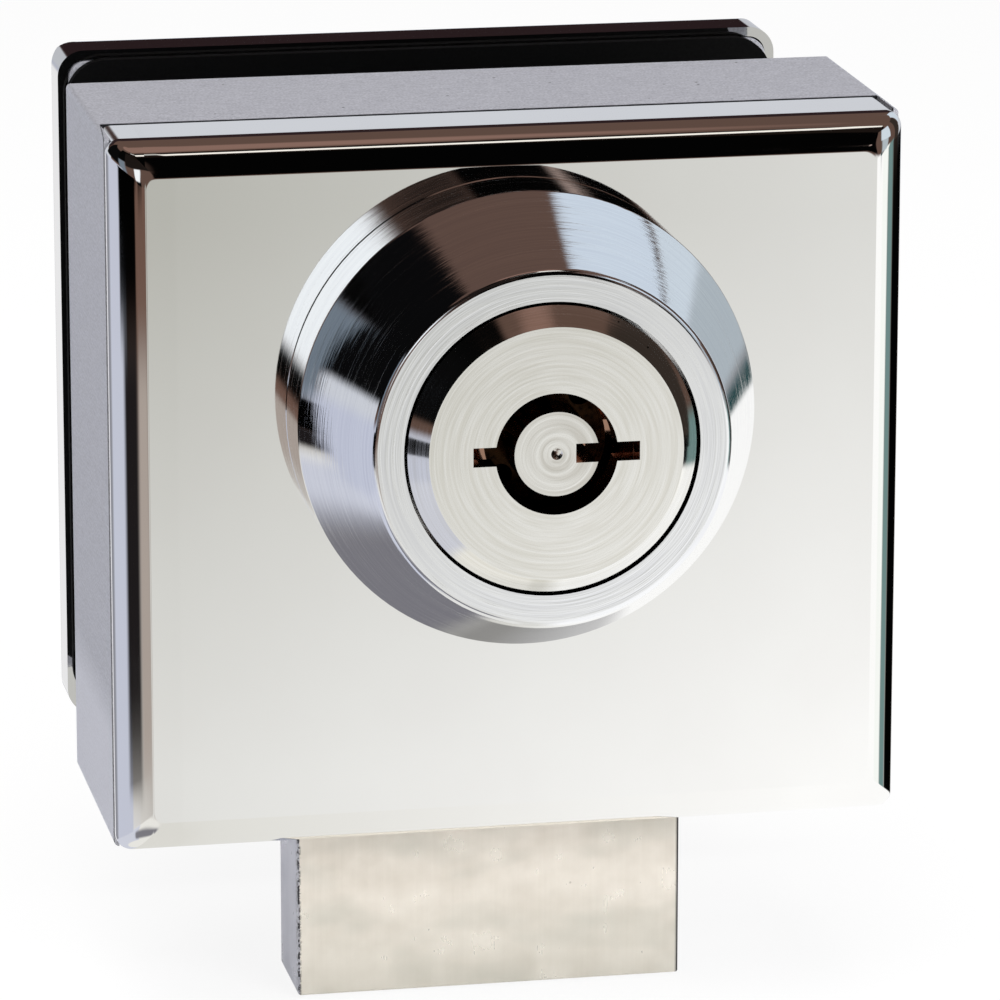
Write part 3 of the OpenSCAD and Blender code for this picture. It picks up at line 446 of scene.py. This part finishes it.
def turnedPlate(name, spec):
    mat, tree, inMm = newMaterial(name)
    x, y, z = add(tree, "SeparateXYZ", {0: inMm}).node.outputs
    spoke = add(tree, "CombineXYZ", {0: x, 2: z})
    radius = add(tree, "VectorMath", {0: spoke}, 1, operation="LENGTH")
    facing = add(tree, "VectorMath", {0: spoke}, operation="NORMALIZE")
    right, _, up = add(tree, "SeparateXYZ", {0: facing}).node.outputs
    # runs down the cone and across the flat face
    along = add(tree, "Math", {0: radius, 1: y}, operation="ADD")
    polar = add(tree, "CombineXYZ", {0: along, 1: right, 2: up})
    marks = grain(tree, polar, (spec["markMm"], spec["markLongRad"], spec["markLongRad"]), rough=0.6)
    least, most = spec["shadeFrom"]
    shade = add(tree, "MapRange", {0: marks, 1: least, 2: most})
    streak, plate = linear(spec["streak"]), linear(spec["colour"])
    tone = add(tree, "Mix", {0: shade, 6: streak, 7: plate}, 2, data_type="RGBA")
    # painted shade: the bore's wall darker and browner behind the face
    if "inside" in spec:
        clear, full = (spec["faceMm"] + deep for deep in spec["boreFadeMm"])
        sunk = add(tree, "MapRange", {0: y, 1: clear, 2: full})
        within = add(tree, "Math", {0: radius, 1: spec["boreMm"]}, operation="LESS_THAN")
        bore = add(tree, "Math", {0: sunk, 1: within}, operation="MULTIPLY")
        tone = add(tree, "Mix", {0: bore, 6: tone, 7: linear(spec["inside"])}, 2, data_type="RGBA")
    nick = pits(tree, inMm, spec["nickSpacingMm"], spec["nickRadiusMm"], spec["nickShare"])
    tone = add(tree, "Mix", {0: nick, 6: tone, 7: linear(spec["nick"])}, 2, data_type="RGBA")
    glance = white
    # painted shade: the lowest part of the cone greyed in colour and in its reflection's tint
    if "coneShade" in spec:
        clear, full = spec["coneShadeDown"]
        low = add(tree, "MapRange", {0: up, 1: -full, 2: -clear, 3: 1.0, 4: 0.0},
                  interpolation_type="SMOOTHSTEP")
        ring, cone = spec["coneShadeFromYMm"]
        behind = add(tree, "MapRange", {0: y, 1: ring, 2: cone})
        coneShade = add(tree, "Math", {0: low, 1: behind}, operation="MULTIPLY")
        tone = add(tree, "Mix", {0: coneShade, 6: tone, 7: linear(spec["coneShade"])}, 2, data_type="RGBA")
        glance = add(tree, "Mix", {0: coneShade, 6: glance, 7: linear(spec["coneShade"])}, 2, data_type="RGBA")
    least, most = spec["dullFrom"]
    smooth, dull = spec["roughness"]
    rough = add(tree, "MapRange", {0: marks, 1: least, 2: most, 3: smooth, 4: dull})
    height = add(tree, "Math", {0: marks, 1: spec["markDeepMm"]}, operation="MULTIPLY")
    more = {
        "Anisotropic": spec["anisotropic"],
        "Anisotropic Rotation": spec["anisotropicTurn"],
        "Tangent": add(tree, "Tangent", direction_type="RADIAL", axis="Y"),
        "Specular Tint": glance,
    }
    return endMaterial(mat, tree, tone, 1.0, rough, height, **more)


# Warm nickel plate on the ground steel bolt: cream white, faintly brushed along its travel,
# with soft grey-green blotches, greyer towards the nose, sides painted greyer as shade, a few pits,
# flecks of dark burr along its left front edge and painted shade along its right edge; brush lines are
# drawn coarser than the real ones, to show
brushedNickel = {
    "bright": "#F8F1E6", "dull": "#E4DCCF", "blotch": "#B9B9AD", "side": "#BDBDC6",
    "pit": "#958B7E", "burrAndRightShade": "#3A3738",
    "metallic": 0.5, "roughness": (0.26, 0.34),
    "brushMm": 0.3, "brushLongMm": 9.0, "brushShare": 0.2,
    "stainMm": 2.6, "shadeFrom": (0.25, 0.75),
    "blotchMm": 9.0, "blotchHighMm": 4.5, "blotchFrom": (0.48, 0.74), "blotchShare": 0.55,
    "noseZMm": -51.65, "nearFloorMm": 9.0, "nearFloorShare": 0.4,
    "pitSpacingMm": 2.2, "pitRadiusMm": 0.22, "pitShare": 0.3, "pitDeepMm": 0.05,
    "burrMm": 0.35, "burrFrom": (0.46, 0.54), "burrReachMm": (0.2, 1.3),
    "halfWideMm": 15.9, "frontYMm": -17.2, "edgeMm": (0.1, 0.3),
}


def nickelBolt(name, spec):
    mat, tree, inMm = newMaterial(name)
    x, y, z = add(tree, "SeparateXYZ", {0: inMm}).node.outputs
    brush = grain(tree, inMm, (spec["brushMm"], spec["brushMm"], spec["brushLongMm"]))
    stain = grain(tree, inMm, (spec["stainMm"],) * 3, detail=3.0)
    wear = add(tree, "Mix", {0: spec["brushShare"], 2: stain, 3: brush}, data_type="FLOAT")
    least, most = spec["shadeFrom"]
    shade = add(tree, "MapRange", {0: wear, 1: least, 2: most})
    cloud = grain(tree, inMm, (spec["blotchMm"], spec["blotchMm"], spec["blotchHighMm"]))
    least, most = spec["blotchFrom"]
    clouded = add(tree, "MapRange", {0: cloud, 1: least, 2: most, 4: spec["blotchShare"]})
    # greyer towards the nose
    nose, clean = spec["noseZMm"], spec["noseZMm"] + spec["nearFloorMm"]
    nearFloor = add(tree, "MapRange", {0: z, 1: nose, 2: clean, 3: spec["nearFloorShare"], 4: 0.0})
    hole = pits(tree, inMm, spec["pitSpacingMm"], spec["pitRadiusMm"], spec["pitShare"])
    speck = grain(tree, inMm, (spec["burrMm"],) * 3)
    least, most = spec["burrFrom"]
    fleck = add(tree, "MapRange", {0: speck, 1: least, 2: most})
    half = spec["halfWideMm"]
    dark, clear = spec["edgeMm"]
    nearLeft = add(tree, "MapRange", {0: x, 1: dark - half, 2: clear - half, 3: 1.0, 4: 0.0})
    # painted shade: the right edge darkened in the burr tone; the left front edge keeps real burr flecks
    nearRight = add(tree, "MapRange", {0: x, 1: half - clear, 2: half - dark})
    full, none = (spec["frontYMm"] + reach for reach in spec["burrReachMm"])
    nearFront = add(tree, "MapRange", {0: y, 1: full, 2: none, 3: 1.0, 4: 0.0})
    burrAndRightShade = add(tree, "Math", {0: nearLeft, 1: nearFront}, operation="MULTIPLY")
    burrAndRightShade = add(tree, "Math", {0: fleck, 1: burrAndRightShade}, operation="MULTIPLY")
    burrAndRightShade = add(tree, "Math", {0: burrAndRightShade, 1: nearRight}, operation="MAXIMUM")
    # the sides' tone is painted shade on the faces that look along X
    coats = [(shade, "bright"), (clouded, "blotch"), (nearFloor, "blotch"), (sideways(tree), "side")]
    coats += [(hole, "pit"), (burrAndRightShade, "burrAndRightShade")]
    tone = linear(spec["dull"])
    for mask, coat in coats:
        tone = add(tree, "Mix", {0: mask, 6: tone, 7: linear(spec[coat])}, 2, data_type="RGBA")
    least, most = grainSpan
    smooth, dull = spec["roughness"]
    rough = add(tree, "MapRange", {0: wear, 1: least, 2: most, 3: dull, 4: smooth})
    height = add(tree, "Math", {0: hole, 1: -spec["pitDeepMm"]}, operation="MULTIPLY")
    return endMaterial(mat, tree, tone, spec["metallic"], rough, height)


# Plain workshop finishes, two tones with a grain that is drawn coarser than the real one, to show:
# grey rolled sheet, pale warm screws, yellow brass, brass painted nearly black as shade deep in the
# keyway, blue-grey wire, dark satin oxide, black rubber darkened further as painted shade in the gaps,
# and dark nylon with a slight sheen
plainFinishes = {
    "zincPlatedSheet": {"tones": ("#8E9094", "#B9BBBE"), "metallic": 1.0, "roughness": (0.3, 0.42),
                        "grainMm": (6.0, 0.4, 0.4), "deepMm": 0.003},
    "zincPlatedScrew": {"tones": ("#A9A79E", "#D0CEC4"), "metallic": 1.0, "roughness": (0.24, 0.36),
                        "grainMm": (0.5, 0.5, 0.5), "deepMm": 0.003},
    "turnedBrass": {"tones": ("#B9954E", "#E0C27C"), "metallic": 1.0, "roughness": (0.2, 0.34),
                    "grainMm": (0.5, 0.2, 0.5), "deepMm": 0.003},
    # painted shade: brass painted nearly black, deep in the keyway
    "keywayShadeBrass": {"tones": ("#0E0906", "#3A2718"), "metallic": 1.0, "roughness": (0.2, 0.34),
                   "grainMm": (0.4, 0.2, 0.4), "deepMm": 0.003},
    "springWire": {"tones": ("#9EA2A8", "#C8CCD2"), "metallic": 1.0, "roughness": (0.25, 0.35),
                   "grainMm": (0.2, 0.2, 0.2), "deepMm": 0.002},
    "blackOxideSteel": {"tones": ("#1B1B1E", "#34353A"), "metallic": 1.0, "roughness": (0.38, 0.55),
                        "grainMm": (0.4, 0.4, 0.4), "deepMm": 0.004},
    # black rubber, darkened further as painted shade in the gaps by the covers
    "blackRubberAndGapShade": {"tones": ("#010101", "#040404"), "metallic": 0.0, "roughness": (0.85, 0.95),
                    "grainMm": (0.35, 0.35, 0.35), "deepMm": 0.012},
    "blackNylon": {"tones": ("#151517", "#212124"), "metallic": 0.0, "roughness": (0.42, 0.55),
                   "grainMm": (0.6, 0.6, 0.6), "deepMm": 0.006},
}


def plainFinish(name, spec):
    mat, tree, inMm = newMaterial(name)
    texture = grain(tree, inMm, spec["grainMm"], detail=3.0)
    least, most = grainSpan
    shade = add(tree, "MapRange", {0: texture, 1: least, 2: most})
    low, high = (linear(tone) for tone in spec["tones"])
    tone = add(tree, "Mix", {0: shade, 6: low, 7: high}, 2, data_type="RGBA")
    smooth, dull = spec["roughness"]
    rough = add(tree, "MapRange", {0: texture, 1: least, 2: most, 3: smooth, 4: dull})
    height = add(tree, "Math", {0: texture, 1: spec["deepMm"]}, operation="MULTIPLY")
    return endMaterial(mat, tree, tone, spec["metallic"], rough, height)


finishes = {
    "polishedStainlessFront": polishedStainless("polishedStainlessFront", polishedFront),
    "polishedStainlessRear": polishedStainless("polishedStainlessRear", polishedRear),
    "satinZinc": satinZinc("satinZinc", satinCasting),
    "turnedChrome": turnedPlate("turnedChrome", turnedChrome),
    "turnedNickel": turnedPlate("turnedNickel", turnedNickel),
    "turnedNickelPost": turnedPlate("turnedNickelPost", turnedPost),
    "brushedNickel": nickelBolt("brushedNickel", brushedNickel),
}
for finishName, finishSpec in plainFinishes.items():
    finishes[finishName] = plainFinish(finishName, finishSpec)
print("materials made:", len(finishes))

# which finish each piece wears
wears = {
    "polishedStainlessFront": ["front_cover"],
    "polishedStainlessRear": ["rear_cover"],
    "satinZinc": ["case", "clamp_plate"],
    "turnedChrome": ["collar"],
    "turnedNickel": ["cylinder_shell"],
    "turnedNickelPost": ["spindle"],
    "brushedNickel": ["bolt"],
    "zincPlatedSheet": ["case_lid", "bolt_keeper", "nut_washer"],
    "zincPlatedScrew": ["lid_screws", "keeper_screws", "housing_pin", "drum_pin", "pinion_nut"],
    "turnedBrass": ["ring_nut", "pin_housing", "driver_pins", "pinion"],
    "keywayShadeBrass": ["tumbler_drum", "key_pins"],
    "springWire": ["pin_springs"],
    "blackOxideSteel": ["clamp_screws"],
    "blackRubberAndGapShade": ["front_gasket", "rear_gasket"],
    "blackNylon": ["screw_sleeves"],
}
for finishName, pieces in wears.items():
    for piece in pieces:
        slots = nodes[piece].data.materials
        slots.clear()
        slots.append(finishes[finishName])
print("finishes worn by", sum(len(p) for p in wears.values()), "pieces")

# Front cover: a pan drawn from one sheet, whose corners run smoothly from the flat front into the bends;
# its box, bend, flanges and hole are those of the solid that it stands for
drawnCover = {
    "sheetMm": 0.8, "bendMm": 2.75, "sideDeepMm": 2.85, "flangeReachMm": 31.3,
    "flatCornerMm": 0.9, "rimCornerMm": 1.2, "innerCornerMm": 0.4,
    "holeRadiusMm": 10.2, "flatMarginMm": 0.05, "weldMm": 0.0008,
    "bendSteps": 18, "cornerSteps": 14, "sideSteps": 14, "creaseDeg": 40,
}


# a rounded rectangle about the origin, with the same number of points at any size
def roundedOutline(halfX, halfZ, corner, spec):
    arcs = []
    for quarter, (sideX, sideZ) in enumerate(((1, 1), (-1, 1), (-1, -1), (1, -1))):
        middle = Vector((sideX * (halfX - corner), sideZ * (halfZ - corner)))
        steps = [i / spec["cornerSteps"] for i in range(spec["cornerSteps"] + 1)]
        turns = [math.radians(90 * (quarter + step)) for step in steps]
        arcs.append([middle + corner * Vector((math.cos(t), math.sin(t))) for t in turns])
    outline = []
    for arc, following in zip(arcs, arcs[1:] + arcs[:1]):
        outline += arc
        steps = [i / spec["sideSteps"] for i in range(1, spec["sideSteps"])]
        outline += [arc[-1].lerp(following[0], step) for step in steps]
    return outline


def makeCover(spec, material):
    low, high = (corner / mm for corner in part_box("front_cover"))
    halfX, halfZ = (high.x - low.x) / 2, (high.z - low.z) / 2
    midX, midZ = (high.x + low.x) / 2, (high.z + low.z) / 2
    sheet, bend, sideDeep = spec["sheetMm"], spec["bendMm"], spec["sideDeepMm"]

    # one ring of the pan: how far it lies inside the rim's outline, and how deep behind the front
    def ring(inset, deep, corner):
        outline = roundedOutline(halfX - inset, halfZ - inset, corner, spec)
        return [Vector((midX + p.x, low.y + deep, midZ + p.y)) for p in outline]

    # the rings of the bend's outer or inner skin, from the flat front to the rim
    def bendRings(skin, rimCorner):
        rings = []
        for step in range(spec["bendSteps"] + 1):
            turn = math.radians(90 * step / spec["bendSteps"])
            across, down = math.sin(turn), 1 - math.cos(turn)
            corner = spec["flatCornerMm"] + (rimCorner - spec["flatCornerMm"]) * across
            rings.append(ring(skin + (bend - skin) * (1 - across), skin + (bend - skin) * down, corner))
        return rings

    def holeRing(around, deep):
        spokes = [Vector((p.x, 0, p.z)).normalized() * spec["holeRadiusMm"] for p in around]
        return [Vector((p.x, low.y + deep, p.z)) for p in spokes]

    # the top and bottom of a rim reach further back than its sides
    def flangeEnd(rim):
        reach, edge = spec["flangeReachMm"], halfZ - bend
        tops = [abs(p.x - midX) <= reach and abs(p.z - midZ) > edge for p in outerRim]
        return [Vector((p.x, high.y, p.z)) if top else p.copy() for p, top in zip(rim, tops)]

    flat = ring(bend + spec["flatMarginMm"], 0, spec["flatCornerMm"])
    outerRim = ring(0, sideDeep, spec["rimCornerMm"])
    innerRim = ring(sheet, sideDeep, spec["innerCornerMm"])
    rings = [holeRing(flat, 0), flat, *bendRings(0, spec["rimCornerMm"]), outerRim, flangeEnd(outerRim)]
    rings += [flangeEnd(innerRim), innerRim, *reversed(bendRings(sheet, spec["innerCornerMm"]))]
    rings.append(holeRing(flat, sheet))
    bm = bmesh.new()
    loops = [[bm.verts.new(p * mm) for p in points] for points in rings]
    for near, far in zip(loops, loops[1:] + loops[:1]):
        for i in range(len(near)):
            bm.faces.new((near[i - 1], near[i], far[i], far[i - 1]))
    bmesh.ops.remove_doubles(bm, verts=bm.verts, dist=spec["weldMm"] * mm)
    bmesh.ops.recalc_face_normals(bm, faces=bm.faces)
    for face in bm.faces:
        face.smooth = True
    mesh = bpy.data.meshes.new("drawnFrontCover")
    bm.to_mesh(mesh)
    bm.free()
    mesh.set_sharp_from_angle(angle=math.radians(spec["creaseDeg"]))
    mesh.materials.append(material)
    cover = bpy.data.objects.new("drawnFrontCover", mesh)
    scene.collection.objects.link(cover)
    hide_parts("front_cover")
    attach(cover, "housing")


makeCover(drawnCover, finishes["polishedStainlessFront"])
print("front cover drawn")
